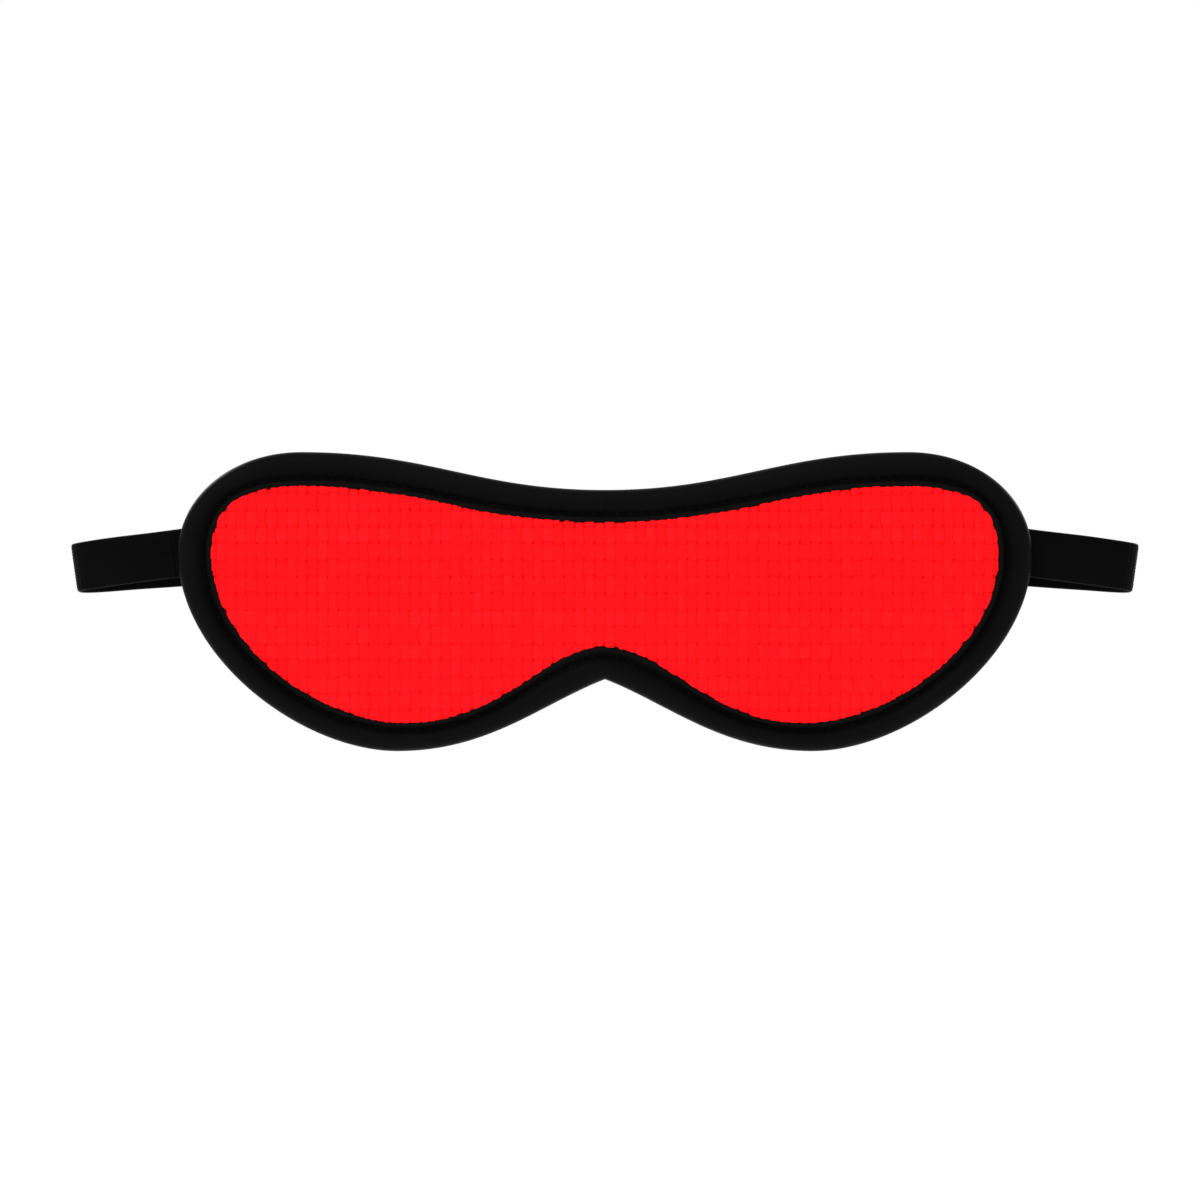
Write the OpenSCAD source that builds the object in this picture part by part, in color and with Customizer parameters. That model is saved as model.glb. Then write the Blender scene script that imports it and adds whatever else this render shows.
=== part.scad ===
// Padded two-eye mask with a bound edge and one elastic head strap.
// Millimetres. The mask stands upright as worn: +X across, +Z up, the outer face looks along -Y,
// and the origin is the middle of the lining's back face, where it rests on the wearer.

/* [Mask] */
// Width of the mask over the binding
mask_w = 214; // [190:1:240]
// Height of the mask over the binding
mask_h = 75; // [66:1:86]

/* [Layers] */
// Thickness of the woven front panel
front_t = 1.0; // [0.6:0.1:1.5]
// Thickness of the foam pad
foam_t = 3.0; // [2:0.5:5]
// Thickness of the blackout layer
blackout_t = 0.4; // [0.3:0.1:0.8]
// Thickness of the lining against the face
lining_t = 0.6; // [0.4:0.1:1.0]

/* [Binding] */
// How far the padded roll of the binding stands above the panels
roll_rise = 1.3; // [0.9:0.1:2.0]
// Thickness of the binding at its sewn groove
groove_t = 0.6; // [0.4:0.1:0.8]
// Thickness of the sewing thread
thread_t = 0.3; // [0.2:0.05:0.4]

/* [Strap] */
// Width of the elastic band
strap_w = 12.2; // [8:0.2:16]
// Thickness of the elastic band
strap_t = 1.2; // [0.8:0.1:1.6]
// Distance from the middle of the mask to the outer fold of the band, at half the band's width
strap_reach = 134.8; // [130:0.1:150]
// Gap between the lining and the back run of the relaxed band
loop_depth = 21; // [18:1:30]

/* [Hidden] */

// The outline was drawn at this size, and is scaled to the mask's width and height
drawn_w = 214;
drawn_h = 75;
stretch = [mask_w / drawn_w, mask_h / drawn_h];

// Steps along each of the four curves of a half outline
curve_steps = 18;

// A curve is [start, end, handle at the start, handle at the end, direction in, direction out].
// The right half runs from the top middle over the lobe and round to the nose notch.
right = [1, 0];
down = [0, -1];
left = [-1, 0];
notch_angle = 21;
into_notch = [-cos(notch_angle), sin(notch_angle)];
outer_curves = [
    [[0, 28], [76, 37.5], 32, 32, right, right],
    [[76, 37.5], [107, 12], 18, 14, right, down],
    [[107, 12], [52, -37.5], 26, 24, down, left],
    [[52, -37.5], [0, -19.5], 23, 17, left, into_notch],
];
inner_curves = [
    [[0, 20], [75, 29], 34, 30, right, right],
    [[75, 29], [98.5, 11.5], 16, 13.5, right, down],
    [[98.5, 11.5], [50, -30.5], 23, 21, down, left],
    [[50, -30.5], [0, -11.5], 25, 15, left, left],
];

// Depths of the layers: the lining's back face is y = 0 and the front is at -Y
lining_y = -lining_t;
blackout_y = lining_y - blackout_t;
foam_y = blackout_y - foam_t;
front_y = foam_y - front_t;
middle_y = front_y / 2;

// Where the layers' cut edges stop inside the binding: 0 is its outer edge and 1 its inner edge
layer_edge = 0.14;
// Inner and outer side of the sewn groove, and of the thread in it
groove = [0.81, 0.70];
thread = [0.78, 0.73];
// Half of the binding's section, from its inner edge to its outer edge: [place, height over panel]
lip_rise = roll_rise - 0.2;
half_section = [
    [1, 0],
    [1, lip_rise - 0.4],
    [0.92, lip_rise],
    [groove[0], groove_t],
    [groove[1], groove_t],
    [0.54, roll_rise],
    [0.30, roll_rise],
    [0.10, 0],
];

// The band's tail lies on the back of the binding, and its front run slopes down outwards
edge_x = mask_w / 2;
edge_z = 12.2;
slope = 8;
tail_length = 14;
tail_y = roll_rise + strap_t / 2;
fold_y = 8;
fold_z = 8.5;
back_x = 60;
back_z = 12.6;
middle_z = 13.4;
band_y = loop_depth + strap_t / 2;
// Points of the band's centre line: [x, y, z, tilt of the band's width]
tail_start = [edge_x - tail_length, tail_y, edge_z + tail_length * tan(slope), slope];
tail_leave = [edge_x, tail_y, edge_z, slope];
fold = [strap_reach - strap_t / 2, fold_y, fold_z, slope];
back_start = [back_x, band_y - 1, back_z, 1];
back_middle = [0, band_y, middle_z, 0];
side_curves = [
    [tail_start, tail_start + [5, 0, -0.7, 0], tail_leave - [5, 0, -0.7, 0], tail_leave],
    [tail_leave, tail_leave + [15, 0, -1.8, 0], fold - [0, 6, -0.2, 0], fold],
    [fold, fold + [0, 7, -1.1, 0], back_start + [42, -1, -1.3, 4], back_start],
];
back_curve = [back_start, back_start + [-20, 0.5, 0.6, -1], back_middle + [20, 0, 0, 0], back_middle];
side_steps = 14;
back_steps = 8;

// Short rows of stitches that hold the band's tail: their distances from the mask's edge
tack_rows = [6.2, 8.2];
tack_w = 0.9;
tack_margin = 1;

// A point on a cubic curve
function cubic(a, b, c, d, t) =
    pow(1 - t, 3) * a + 3 * pow(1 - t, 2) * t * b + 3 * (1 - t) * t * t * c + pow(t, 3) * d;

// The points of one curve of the outline, without its last point
function curve_points(c) = [
    for (i = [0 : curve_steps - 1])
        cubic(c[0], c[0] + c[2] * c[4], c[1] - c[3] * c[5], c[1], i / curve_steps)
];

// The whole closed outline: the right half, the notch, and the left half as its mirror image
function half_outline(curves) = [for (c = curves) each curve_points(c)];
function whole_outline(curves) =
    let (half = half_outline(curves), n = len(half), notch = curves[3][1])
    [
        for (i = [0 : n - 1]) half[i],
        notch,
        for (i = [n - 1 : -1 : 1]) [-half[i][0], half[i][1]]
    ];

function scaled(points) = [for (p = points) [p[0] * stretch[0], p[1] * stretch[1]]];
outer = scaled(whole_outline(outer_curves));
inner = scaled(whole_outline(inner_curves));
stations = len(outer);

// The outline at a place between the binding's outer edge (0) and its inner edge (1)
function ring(place) = [for (i = [0 : stations - 1]) outer[i] * (1 - place) + inner[i] * place];

// The binding's whole section as [place, y]: front half, outer edge, back half, then the cavity
section = [
    for (p = half_section) [p[0], front_y - p[1]],
    [0, middle_y],
    for (i = [len(half_section) - 1 : -1 : 0]) [half_section[i][0], half_section[i][1]],
    [layer_edge, 0],
    [layer_edge, front_y]
];

// Extrudes an outline in X and Z from depth y over a thickness t towards +Y
module slab(y, t) {
    translate([0, y + t, 0])
        rotate([90, 0, 0])
            linear_extrude(height = t)
                children();
}

module layer(y, t) {
    slab(y, t)
        polygon(ring(layer_edge));
}

// A closed strip of thread along the groove
module thread_line(y) {
    slab(y, thread_t)
        difference() {
            polygon(ring(thread[1]));
            polygon(ring(thread[0]));
        }
}

// Sweeps the binding's section round the closed outline
module binding_sweep() {
    n = len(section);
    points = [
        for (i = [0 : stations - 1])
            for (s = section)
                let (p = outer[i] * (1 - s[0]) + inner[i] * s[0])
                [p[0], s[1], p[1]]
    ];
    faces = [
        for (i = [0 : stations - 1])
            for (j = [0 : n - 1])
                let (i2 = (i + 1) % stations, j2 = (j + 1) % n)
                each [
                    [i * n + j, i * n + j2, i2 * n + j2],
                    [i * n + j, i2 * n + j2, i2 * n + j]
                ]
    ];
    polyhedron(points, faces);
}

// The centre line of a stretch of the band, and the direction that it runs in at each point
function stretch_points(curves, steps) = [
    for (c = curves)
        for (i = [0 : steps - 1])
            cubic(c[0], c[1], c[2], c[3], i / steps),
    curves[len(curves) - 1][3]
];

// The four corners of the band at a point of its centre line
function band_ring(p, ahead) =
    let (
        up = [sin(p[3]), 0, cos(p[3])],
        side = cross(ahead, up),
        out = side / norm(side) * strap_t / 2,
        centre = [p[0], p[1], p[2]],
        half = up * strap_w / 2
    )
    [centre + half + out, centre + half - out, centre - half - out, centre - half + out];

function direction(points, i) =
    let (
        a = points[max(i - 1, 0)],
        b = points[min(i + 1, len(points) - 1)]
    )
    [b[0] - a[0], b[1] - a[1], b[2] - a[2]];

// Sweeps the flat band along its centre line. Its far end is cut across X, and so is its near
// end where another stretch of the band meets it there.
module band(points, joined_start = false) {
    last = len(points) - 1;
    corners = [
        for (i = [0 : last])
            let (cut = i == last || (i == 0 && joined_start))
            each band_ring(points[i], cut ? [-1, 0, 0] : direction(points, i))
    ];
    walls = [
        for (i = [0 : last - 1])
            for (j = [0 : 3])
                let (a = i * 4 + j, b = i * 4 + (j + 1) % 4)
                each [[a, b, b + 4], [a, b + 4, a + 4]]
    ];
    polyhedron(corners, concat([[3, 2, 1, 0]], walls, [[for (j = [0 : 3]) last * 4 + j]]));
}

module strap_side() {
    band(stretch_points(side_curves, side_steps));
}

// The back run's left half is its right half mirrored, so both halves are one band
module strap_back() {
    half = stretch_points([back_curve], back_steps);
    mirrored = [for (i = [len(half) - 2 : -1 : 0]) [-half[i][0], half[i][1], half[i][2], -half[i][3]]];
    band(concat(half, mirrored), joined_start = true);
}

// Rows of stitches across the band on the back of its tail
module tack() {
    length = strap_w - 2 * tack_margin;
    for (row = tack_rows)
        translate([edge_x - row, tail_y + strap_t / 2, edge_z + row * tan(slope)])
            rotate([0, slope, 0])
                translate([-tack_w / 2, 0, -length / 2])
                    cube([tack_w, thread_t, length]);
}

module front_panel() {
    color("red") layer(front_y, front_t);
}

module foam_pad() {
    color("gainsboro") layer(foam_y, foam_t);
}

module blackout_layer() {
    color("dimgray") layer(blackout_y, blackout_t);
}

module back_panel() {
    color("black") layer(lining_y, lining_t);
}

module edge_binding() {
    color([0.06, 0.06, 0.06]) binding_sweep();
}

module binding_thread_front() {
    color([0.03, 0.03, 0.03]) thread_line(front_y - groove_t - thread_t);
}

module binding_thread_back() {
    color([0.03, 0.03, 0.03]) thread_line(groove_t);
}

module strap_right_side() {
    color([0.1, 0.1, 0.1]) strap_side();
}

module strap_left_side() {
    color([0.1, 0.1, 0.1]) mirror([1, 0, 0]) strap_side();
}

module strap_back_run() {
    color([0.1, 0.1, 0.1]) strap_back();
}

module right_strap_tack() {
    color([0.03, 0.03, 0.03]) tack();
}

module left_strap_tack() {
    color([0.03, 0.03, 0.03]) mirror([1, 0, 0]) tack();
}

front_panel();
foam_pad();
blackout_layer();
back_panel();
edge_binding();
binding_thread_front();
binding_thread_back();
strap_left_side();
strap_right_side();
strap_back_run();
left_strap_tack();
right_strap_tack();
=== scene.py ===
import math

import bpy
import numpy as np
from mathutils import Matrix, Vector


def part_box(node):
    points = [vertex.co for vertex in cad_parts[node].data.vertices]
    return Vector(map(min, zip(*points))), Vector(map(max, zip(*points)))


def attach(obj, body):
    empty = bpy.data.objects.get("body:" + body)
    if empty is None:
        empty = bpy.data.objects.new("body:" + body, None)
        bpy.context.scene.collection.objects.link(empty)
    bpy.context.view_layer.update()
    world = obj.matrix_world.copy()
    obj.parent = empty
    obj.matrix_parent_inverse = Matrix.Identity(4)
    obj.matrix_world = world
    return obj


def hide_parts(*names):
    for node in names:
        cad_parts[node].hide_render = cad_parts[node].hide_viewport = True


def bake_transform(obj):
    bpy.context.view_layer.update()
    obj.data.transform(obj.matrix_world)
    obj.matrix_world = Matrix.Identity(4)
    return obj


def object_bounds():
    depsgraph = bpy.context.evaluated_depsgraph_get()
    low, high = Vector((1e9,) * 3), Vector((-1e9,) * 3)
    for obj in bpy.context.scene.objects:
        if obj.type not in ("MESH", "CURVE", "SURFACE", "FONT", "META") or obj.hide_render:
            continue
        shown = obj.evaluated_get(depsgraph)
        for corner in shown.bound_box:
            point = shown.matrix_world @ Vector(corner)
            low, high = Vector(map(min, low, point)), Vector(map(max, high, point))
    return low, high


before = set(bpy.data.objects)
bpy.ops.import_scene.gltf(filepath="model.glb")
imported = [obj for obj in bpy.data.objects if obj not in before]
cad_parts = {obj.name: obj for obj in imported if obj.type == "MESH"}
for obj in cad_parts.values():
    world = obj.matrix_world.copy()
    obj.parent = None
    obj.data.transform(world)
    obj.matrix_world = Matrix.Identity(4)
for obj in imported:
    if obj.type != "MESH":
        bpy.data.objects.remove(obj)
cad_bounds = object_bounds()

# ---------------------------------------------------------------------------------------------
# Sizes. Lengths are in metres; MM turns millimetres into metres.
# ---------------------------------------------------------------------------------------------
MM = 0.001
SEED = 7

binding_low, binding_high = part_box("edge_binding")
lining_low, lining_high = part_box("back_panel")
foam_low, foam_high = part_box("foam_pad")
panel_low, panel_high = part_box("front_panel")

FACE_Y = panel_low.y
BACK_Y = lining_high.y
MIDDLE_Y = (FACE_Y + BACK_Y) / 2
MASK_W = binding_high.x - binding_low.x
MASK_H = binding_high.z - binding_low.z

# The outline was drawn at this size; it is scaled to the CAD binding's box
DRAWN_W = 214 * MM
DRAWN_H = 75 * MM
RIGHT = (1, 0)
DOWN = (0, -1)
LEFT = (-1, 0)
NOTCH_ANGLE = math.radians(21)
INTO_NOTCH = (-math.cos(NOTCH_ANGLE), math.sin(NOTCH_ANGLE))
# Right half from the top middle round to the nose notch, in millimetres:
# start, end, handle at the start, handle at the end, direction in, direction out
OUTER_CURVES = [
    ((0, 28), (76, 37.5), 32, 32, RIGHT, RIGHT),
    ((76, 37.5), (107, 12), 18, 14, RIGHT, DOWN),
    ((107, 12), (52, -37.5), 26, 24, DOWN, LEFT),
    ((52, -37.5), (0, -19.5), 23, 17, LEFT, INTO_NOTCH),
]
INNER_CURVES = [
    ((0, 20), (75, 29), 34, 30, RIGHT, RIGHT),
    ((75, 29), (98.5, 11.5), 16, 13.5, RIGHT, DOWN),
    ((98.5, 11.5), (50, -30.5), 23, 21, DOWN, LEFT),
    ((50, -30.5), (0, -11.5), 25, 15, LEFT, LEFT),
]

# Places across the binding, from 0 at its outer edge to 1 at its inner edge
LAYER_EDGE = 0.2
SEAM_PLACE = 0.755
LIP_PLACE = 0.97

# Weave of the front panel
WARP_PITCH = 2.56 * MM
WEFT_PITCH = 4.17 * MM
WARP_HALF_WIDTH = 1.29 * MM
WEFT_HALF_WIDTH = 2.09 * MM
YARN_THICK = 0.34 * MM
CRIMP = 0.22 * MM

# Stitches of the binding's seam
STITCH_PITCH = 3.0 * MM
THREAD_RADIUS = 0.17 * MM

# How far the padding swells: the outer face, and the lining against the wearer's face
FRONT_SWELL = 2.0 * MM
BACK_SWELL = 0.5 * MM
# The share of the cloth's swelling that the foam under it shows
FOAM_SHARE = 0.9
# How far the padding takes to rise from the lip, and how much steeper it rises at the two ends
SWELL_RISE = 3 * MM
END_STEEPNESS = 1.5

# Depths of the front's cloths under the panel's face, and the cloths' thickness
BACKING_DEPTH = 0.07 * MM
BACKING_THICK = 0.2 * MM
YARN_DEPTH = 0.35 * MM
LINING_THICK = 0.4 * MM


def cubic(a, b, c, d, t):
    """Points of a cubic curve at the values t, one row each."""
    t = np.asarray(t)[:, None]
    a, b, c, d = (np.asarray(p, float) for p in (a, b, c, d))
    return (1 - t) ** 3 * a + 3 * (1 - t) ** 2 * t * b + 3 * (1 - t) * t * t * c + t ** 3 * d


def half_outline(curves, steps=240):
    """The right half of an outline, from the top middle to the notch, in metres."""
    parts = []
    for start, end, lead, tail, going_in, going_out in curves:
        start, end = np.array(start, float), np.array(end, float)
        t = np.arange(steps) / steps
        leads = start + lead * np.array(going_in)
        tails = end - tail * np.array(going_out)
        parts.append(cubic(start, leads, tails, end, t))
    parts.append(np.array([curves[-1][1]], float))
    scale = np.array([MASK_W / DRAWN_W, MASK_H / DRAWN_H]) * MM
    return np.vstack(parts) * scale


OUTER_HALF = half_outline(OUTER_CURVES)
INNER_HALF = half_outline(INNER_CURVES)


def half_ring(place):
    """The right half of the line at one place across the binding, from the top middle to the notch."""
    return OUTER_HALF * (1 - place) + INNER_HALF * place


def lengths_along(points):
    """Distance along a line of points, starting at 0."""
    steps = np.linalg.norm(np.diff(points, axis=0), axis=1)
    return np.concatenate([[0], np.cumsum(steps)])


def resampled(points, at, length):
    """The line's points at the given distances along it."""
    return np.stack([np.interp(at, length, points[:, k]) for k in range(points.shape[1])], axis=1)


def loop_stations(count_half, along_place):
    """Outer and inner outline points all the way round, evenly spaced along one line of the binding.
    Returns outer, inner and the distance along that line; the first station is the top middle."""
    line = half_ring(along_place)
    length = lengths_along(line)
    at = np.linspace(0, length[-1], count_half + 1)
    outer = resampled(OUTER_HALF, at, length)
    inner = resampled(INNER_HALF, at, length)
    mirror = np.array([-1, 1])
    outer = np.vstack([outer, outer[-2:0:-1] * mirror])
    inner = np.vstack([inner, inner[-2:0:-1] * mirror])
    distance = np.concatenate([at, 2 * length[-1] - at[-2:0:-1]])
    return outer, inner, distance


def edge_heights(place, x):
    """Lowest and highest z inside a ring at each x."""
    ring = half_ring(place)
    turn = int(np.argmax(ring[:, 0]))
    top, bottom = ring[: turn + 1], ring[turn:][::-1]
    x = np.abs(x)
    return np.interp(x, bottom[:, 0], bottom[:, 1]), np.interp(x, top[:, 0], top[:, 1])


def smooth(t):
    """Rises from 0 to 1 with level ends."""
    t = np.clip(t, 0, 1)
    return t * t * (3 - 2 * t)


def ripple(s, waves, rng):
    """A sum of slow waves along s with random phases: (wavelength, height) pairs."""
    total = np.zeros_like(s)
    for wavelength, height in waves:
        total += height * np.sin(2 * math.pi * s / wavelength + rng.uniform(0, 2 * math.pi))
    return total


# ---------------------------------------------------------------------------------------------
# Meshes
# ---------------------------------------------------------------------------------------------
def add_mesh(name, points, faces, smooth_faces=True):
    mesh = bpy.data.meshes.new(name)
    mesh.from_pydata(np.asarray(points, float).tolist(), [], faces)
    mesh.validate()
    mesh.update()
    if smooth_faces:
        mesh.polygons.foreach_set("use_smooth", [True] * len(mesh.polygons))
    thing = bpy.data.objects.new(name, mesh)
    bpy.context.scene.collection.objects.link(thing)
    return thing


def set_attribute(thing, name, values):
    """Stores a vector for each vertex, which the materials read as a place on the cloth."""
    values = np.asarray(values, np.float32)
    layer = thing.data.attributes.new(name, "FLOAT_VECTOR", "POINT")
    layer.data.foreach_set("vector", values.reshape(-1))


def tube_faces(rings, sides, closed_loop=False, first=0):
    """Faces of a tube of rings with the same number of sides, capped unless it closes on itself."""
    faces = []
    for i in range(rings if closed_loop else rings - 1):
        a, b = first + i * sides, first + ((i + 1) % rings) * sides
        for j in range(sides):
            k = (j + 1) % sides
            faces.append((a + j, a + k, b + k, b + j))
    if not closed_loop:
        faces.append(tuple(first + j for j in reversed(range(sides))))
        faces.append(tuple(first + (rings - 1) * sides + j for j in range(sides)))
    return faces


# ---------------------------------------------------------------------------------------------
# The padded body: one grid over the mask's outline, shared by the foam and the cloths on it
# ---------------------------------------------------------------------------------------------
GRID_X = 150
GRID_Z = 48
# Half the grid's width, which stops just short of the outline's outermost point
GRID_REACH = half_ring(LAYER_EDGE)[:, 0].max() * 0.9995


def grid_places():
    """x and z of the grid's points, an array of GRID_X by GRID_Z each."""
    turn = np.linspace(-math.pi / 2, math.pi / 2, GRID_X)
    x = GRID_REACH * np.sin(turn)
    low, high = edge_heights(LAYER_EDGE, x)
    v = np.linspace(0, 1, GRID_Z)
    z = low[:, None] + (high - low)[:, None] * v[None, :]
    return np.repeat(x[:, None], GRID_Z, axis=1), z


def grid_faces(first=0, flip=False):
    """Faces of the grid, whose points start at first; flip turns them over."""
    faces = []
    for i in range(GRID_X - 1):
        for j in range(GRID_Z - 1):
            a = first + i * GRID_Z + j
            face = (a, a + GRID_Z, a + GRID_Z + 1, a + 1)
            faces.append(face[::-1] if flip else face)
    return faces


def rim_indices():
    """Grid points round the rim, in order."""
    bottom = [i * GRID_Z for i in range(GRID_X)]
    right = [(GRID_X - 1) * GRID_Z + j for j in range(1, GRID_Z)]
    top = [i * GRID_Z + GRID_Z - 1 for i in range(GRID_X - 2, -1, -1)]
    left = [j for j in range(GRID_Z - 2, 0, -1)]
    return bottom + right + top + left


def closed_pad(name, front_y, back_y):
    """A closed slab over the whole outline with the given depths at each grid point."""
    x, z = grid_places()
    count = GRID_X * GRID_Z
    front = np.stack([x, front_y, z], axis=-1).reshape(-1, 3)
    back = np.stack([x, back_y, z], axis=-1).reshape(-1, 3)
    faces = grid_faces() + grid_faces(count, flip=True)
    rim = rim_indices()
    for k, a in enumerate(rim):
        b = rim[(k + 1) % len(rim)]
        faces.append((b, a, a + count, b + count))
    return add_mesh(name, np.vstack([front, back]), faces)


def free_share(x, z):
    """1 where the padding is free to swell, falling to 0 under the binding's lip."""
    low, high = edge_heights(LIP_PLACE, x)
    gap = np.minimum(z - low, high - z)
    side = half_ring(LIP_PLACE)[:, 0].max() - np.abs(x)
    return np.clip(np.minimum(gap, side * END_STEEPNESS) / SWELL_RISE, 0, 1)


SWELL_FRAMES = 20
# Share of the greatest swelling from which capped() flattens it
SWELL_KNEE = 0.75


def swell_by_simulation():
    """Blows the foam up as cloth with its seam pinned, and returns how far each side swelled."""
    scene = bpy.context.scene
    flat = np.ones((GRID_X, GRID_Z))
    pad = closed_pad("pad_trial", foam_low.y * flat, foam_high.y * flat)
    rest = np.array([v.co for v in pad.data.vertices])
    free = free_share(rest[:, 0], rest[:, 2])
    pins = pad.vertex_groups.new(name="seam")
    for k, share in enumerate(free):
        pins.add([k], float(1 - share), "REPLACE")
    cloth = pad.modifiers.new("swell", "CLOTH")
    settings = cloth.settings
    settings.quality = 6
    settings.mass = 0.05
    settings.tension_stiffness = 12
    settings.compression_stiffness = 12
    settings.shear_stiffness = 6
    settings.bending_stiffness = 1.5
    settings.use_pressure = True
    settings.uniform_pressure_force = 4
    settings.vertex_group_mass = "seam"
    settings.effector_weights.gravity = 0
    cloth.point_cache.frame_start = 1
    cloth.point_cache.frame_end = SWELL_FRAMES
    for number in range(1, SWELL_FRAMES + 1):
        scene.frame_set(number)
    depsgraph = bpy.context.evaluated_depsgraph_get()
    swollen = pad.evaluated_get(depsgraph).to_mesh()
    moved = np.array([v.co for v in swollen.vertices]) - rest
    scene.frame_set(1)
    bpy.data.objects.remove(pad)
    count = GRID_X * GRID_Z
    front = -moved[:count, 1].reshape(GRID_X, GRID_Z)
    back = moved[count:, 1].reshape(GRID_X, GRID_Z)
    return capped(front, FRONT_SWELL), capped(back, BACK_SWELL)


def capped(swell, limit):
    """Scales the swelling so that it is highest at the limit, and flattens its upper part."""
    swell = np.maximum(swell, 0)
    return limit * np.tanh(swell / max(swell.max() * SWELL_KNEE, 1e-9)) / math.tanh(1 / SWELL_KNEE)


FRONT_GRID, BACK_GRID = swell_by_simulation()


def swell_at(grid, x, z):
    """The swelling at any places, read between the grid's points."""
    turn = np.arcsin(np.clip(x / GRID_REACH, -1, 1))
    u = (turn / math.pi + 0.5) * (GRID_X - 1)
    low, high = edge_heights(LAYER_EDGE, x)
    v = np.clip((z - low) / np.maximum(high - low, 1e-9), 0, 1) * (GRID_Z - 1)
    i = np.clip(u.astype(int), 0, GRID_X - 2)
    j = np.clip(v.astype(int), 0, GRID_Z - 2)
    a, b = u - i, v - j
    near = grid[i, j] * (1 - b) + grid[i, j + 1] * b
    far = grid[i + 1, j] * (1 - b) + grid[i + 1, j + 1] * b
    return near * (1 - a) + far * a


# The inner edge is measured to every sixth of its points, for this many places at a time
EDGE_STRIDE = 6
EDGE_BATCH = 4000


def edge_distance(x, z):
    """Distance from the binding's inner edge, positive inside it."""
    half = INNER_HALF[::EDGE_STRIDE]
    line = np.vstack([half, half[::-1] * np.array([-1, 1])])
    flat = np.stack([np.ravel(x), np.ravel(z)], axis=1)
    nearest = np.empty(len(flat))
    for start in range(0, len(flat), EDGE_BATCH):
        part = flat[start: start + EDGE_BATCH]
        gaps = np.linalg.norm(part[:, None, :] - line[None, :, :], axis=2)
        nearest[start: start + EDGE_BATCH] = gaps.min(axis=1)
    low, high = edge_heights(1, flat[:, 0])
    inside = (flat[:, 1] > low) & (flat[:, 1] < high) & (np.abs(flat[:, 0]) < INNER_HALF[:, 0].max())
    return np.where(inside, nearest, -nearest).reshape(np.shape(x))


def foam():
    """The foam pad: swollen on the front, flat on the back."""
    front = foam_low.y - FRONT_GRID * FOAM_SHARE
    back = np.full_like(front, foam_high.y)
    pad = closed_pad("foam_core", front, back)
    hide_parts("foam_pad")
    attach(pad, "mask")
    return pad


def cloth_over(name, depth, thickness, outward):
    """A thin cloth over the grid at the given depths; outward is -1 for the front and 1 for the back."""
    x, z = grid_places()
    points = np.stack([x, depth, z], axis=-1).reshape(-1, 3)
    piece = add_mesh(name, points, grid_faces(flip=outward > 0))
    set_attribute(piece, "cloth", np.stack([x, z, 0 * x], axis=-1).reshape(-1, 3))
    solid = piece.modifiers.new("thickness", "SOLIDIFY")
    solid.thickness = thickness
    solid.offset = -1
    return piece


# ---------------------------------------------------------------------------------------------
# Red weave: every yarn is its own flat strip that goes over and under the others
# ---------------------------------------------------------------------------------------------
YARN_ACROSS = 7
WARP_RINGS_PER_CROSSING = 8
WEFT_RINGS_PER_CROSSING = 6
YARN_END_PLACE = 0.92
# How flat a yarn's section and its floats are, and the share of its thickness under its middle
SECTION_FLATNESS = 2.8
FLOAT_SHARPNESS = 0.75
YARN_UNDERSIDE = 0.25
# Each yarn wavers sideways, changes width and rises unevenly: (wavelength, size) pairs
YARN_SWAY = [(31 * MM, 0.10 * MM), (13 * MM, 0.06 * MM), (6 * MM, 0.03 * MM)]
YARN_WIDENING = [(17 * MM, 0.03), (7 * MM, 0.02)]
YARN_LIFTING = [(9 * MM, 1), (5 * MM, 0.6)]
# Shares by which the yarns' widths differ, their floats' heights differ and the floats are wider
WIDTH_SPREAD = 0.04
LIFT_SPREAD = 0.12
FLOAT_WIDENING = 0.08
# Height of the weave's middle over the plane it is pressed towards
WEAVE_MIDDLE = 0.25 * MM
# At the lip the yarns lose this share of their height and sink this deep. Each begins so far under the
# inner edge and is over after the second length.
LIP_FLATTENING = 0.2
FLATTEN_FROM, FLATTEN_OVER = 0.8 * MM, 1.6 * MM
TUCK_DEPTH = 0.5 * MM
TUCK_FROM, TUCK_OVER = 1.1 * MM, 0.9 * MM
# Yarns with fewer rings than this are left out
SHORTEST_YARN = 6


def float_wave(phase):
    """Over and under along a yarn: flat floats with quick dives between them."""
    c = np.cos(phase)
    return np.sign(c) * np.abs(c) ** FLOAT_SHARPNESS


def yarn_strip(centre, across, lift, half_width, tone):
    """Points (x, height, z) and marks (length, place across, tone) of one yarn's rings.
    centre holds x and z along the yarn, and across is the unit direction over its width."""
    u = np.linspace(-1, 1, YARN_ACROSS)
    arc = np.sqrt(np.maximum(1 - np.abs(u) ** SECTION_FLATNESS, 0))
    offsets = u[None, :] * half_width[:, None]
    over = lift[:, None] + YARN_THICK * arc[None, :]
    under = np.repeat(lift[:, None] - YARN_UNDERSIDE * YARN_THICK, YARN_ACROSS - 2, axis=1)
    offsets = np.hstack([offsets, offsets[:, -2:0:-1]])
    x = centre[:, 0][:, None] + offsets * across[0]
    z = centre[:, 1][:, None] + offsets * across[1]
    s = np.repeat(lengths_along(centre)[:, None], offsets.shape[1], axis=1)
    points = np.stack([x, np.hstack([over, under]), z], axis=-1)
    return points, np.stack([s, offsets, np.full_like(s, tone)], axis=-1)


def runs_inside(inside):
    """Start and end index of each stretch where inside is true."""
    edges = np.diff(np.concatenate([[0], inside.astype(int), [0]]))
    return list(zip(np.where(edges == 1)[0], np.where(edges == -1)[0]))


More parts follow.
